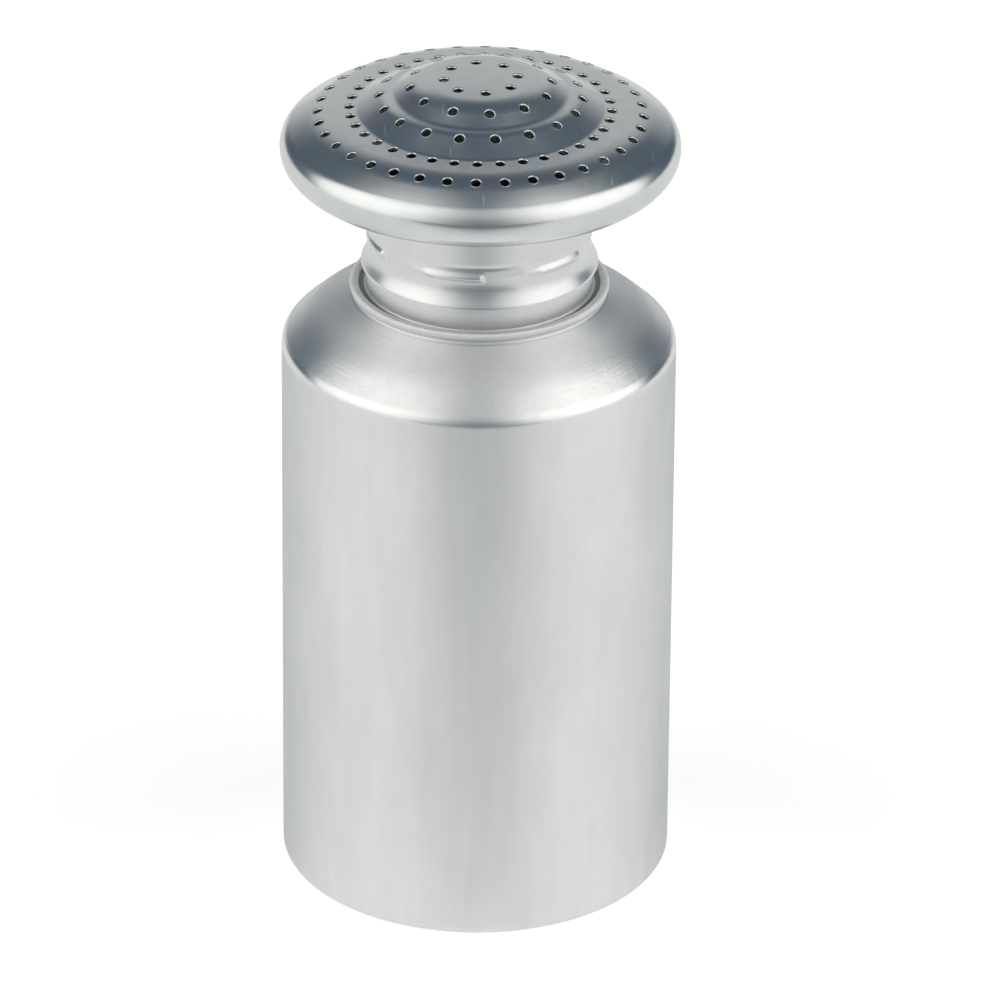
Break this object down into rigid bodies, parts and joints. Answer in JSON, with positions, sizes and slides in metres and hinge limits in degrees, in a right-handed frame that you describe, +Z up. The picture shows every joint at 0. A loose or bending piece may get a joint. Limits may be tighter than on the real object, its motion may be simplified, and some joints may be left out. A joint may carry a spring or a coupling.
{
  "type": "spice shaker",
  "caption": "Free-standing cylindrical sheet metal shaker with a domed shoulder and a screw-on mushroom head with a perforated crown for powder.",
  "frame": {"origin": "middle of the base, on the plane that the can stands on", "axes": "+Z up along the axis of the can; -Y is the side that the picture is taken from"},
  "size_m": [0.0846, 0.0846, 0.1839],
  "materials": {
    "can_aluminium": "matt, brushed round on the shoulder",
    "neck_aluminium": "satin",
    "skirt_aluminium": "satin, pressed",
    "head_aluminium": "bright, lightly scratched",
    "washer_rubber": "plain"
  },
  "bodies": {
    "can": {"can_body": "can_aluminium", "neck_ring": "neck_aluminium"},
    "washer": {"sealing_washer": "washer_rubber"},
    "cap": {"cap_skirt": "skirt_aluminium", "head_dish": "head_aluminium", "sieve_crown": "head_aluminium"}
  },
  "joints": [
    {"name": "cap_lift", "type": "slide", "parent": "can", "child": "washer", "axis": [0, 0, 1], "range_m": [0, 0.01605]},
    {"name": "cap_turn", "type": "hinge", "parent": "washer", "child": "cap", "pos_m": [0, 0, 0.1569], "axis": [0, 0, 1], "range_deg": [0, 1440]}
  ],
  "couplings": [
    {"joint": "cap_lift", "follows": "cap_turn", "m_per_rad": 0.00063662}
  ]
}
